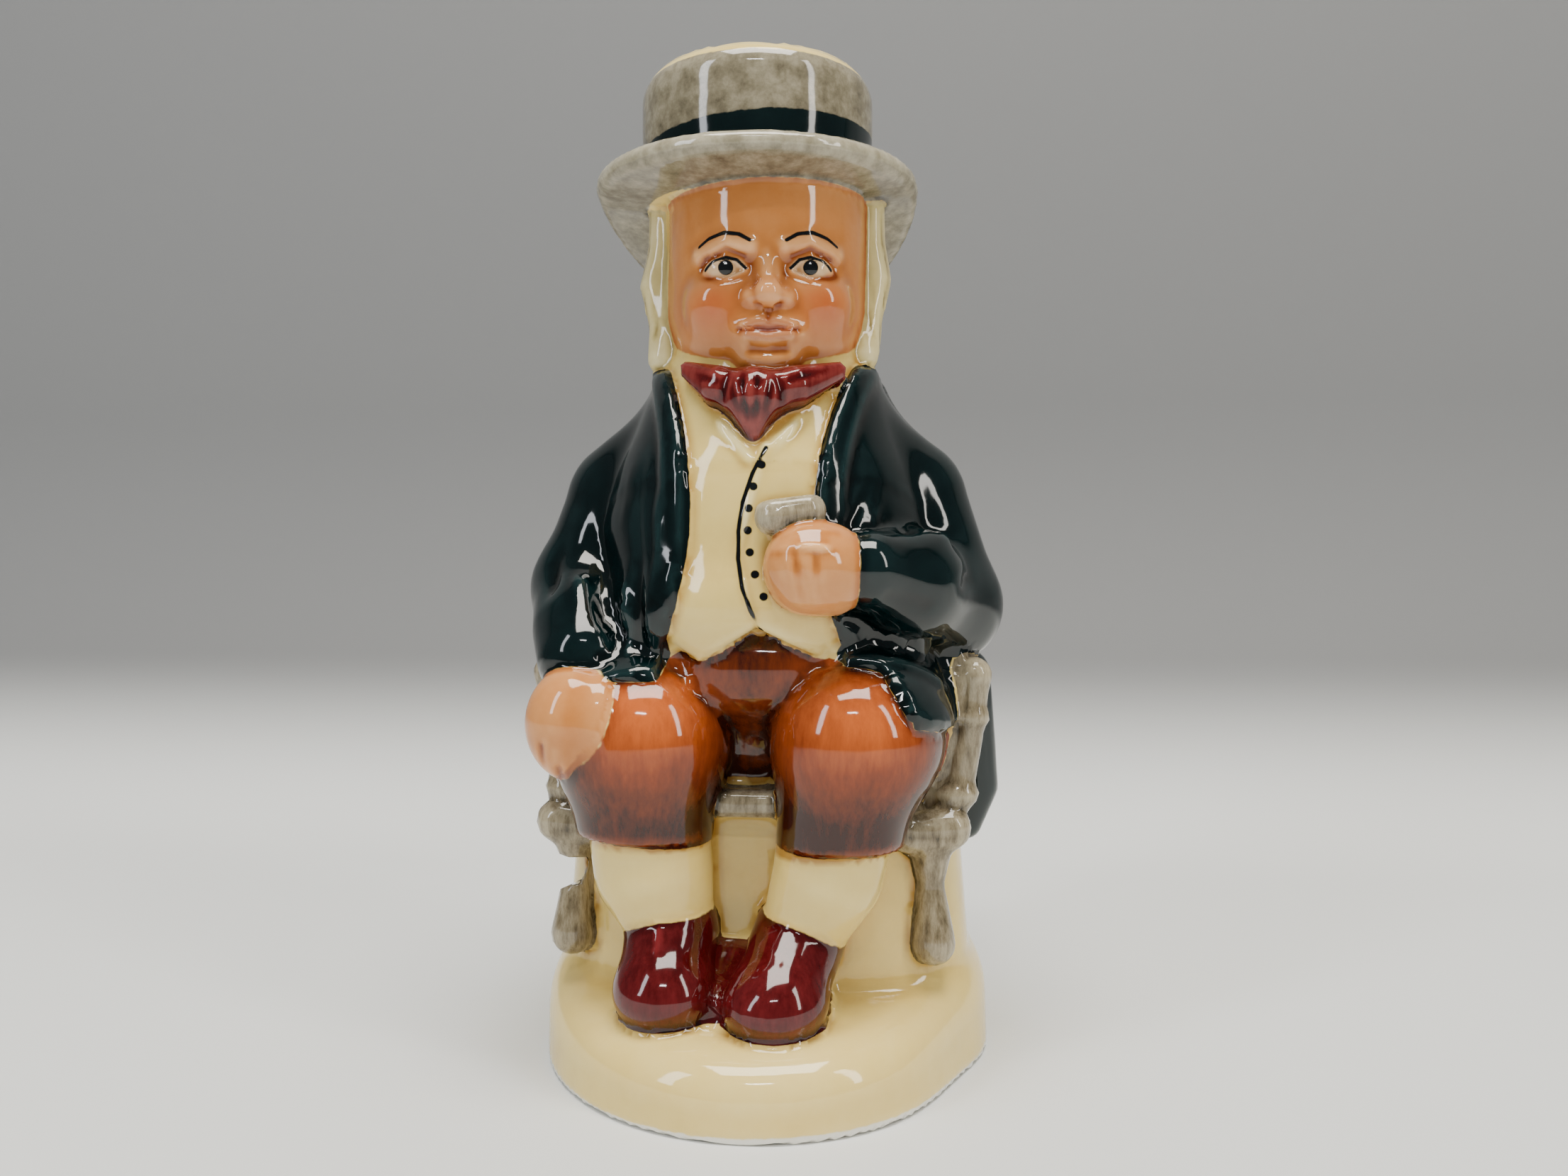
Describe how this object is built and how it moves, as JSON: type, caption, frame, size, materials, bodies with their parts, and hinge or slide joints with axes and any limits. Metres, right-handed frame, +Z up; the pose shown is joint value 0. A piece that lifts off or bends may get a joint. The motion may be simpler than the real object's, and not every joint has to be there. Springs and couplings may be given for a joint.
{
  "type": "toby jug",
  "caption": "Hollow glazed earthenware jug shaped as a seated gentleman in an armchair. His hat's open crown is the mouth, and a loop handle joins hat and coat behind.",
  "frame": {"origin": "middle of the flat underside that the jug stands on", "axes": "+Z up through the open hat, the figure faces -Y with the handle towards +Y, and +X is the side of the raised hand"},
  "size_m": [0.0746, 0.0897, 0.1516],
  "materials": {
    "glaze": "glossy clear glaze over hand-painted cream earthenware"
  },
  "bodies": {
    "root": {"toby_jug": "glaze"}
  },
  "joints": []
}
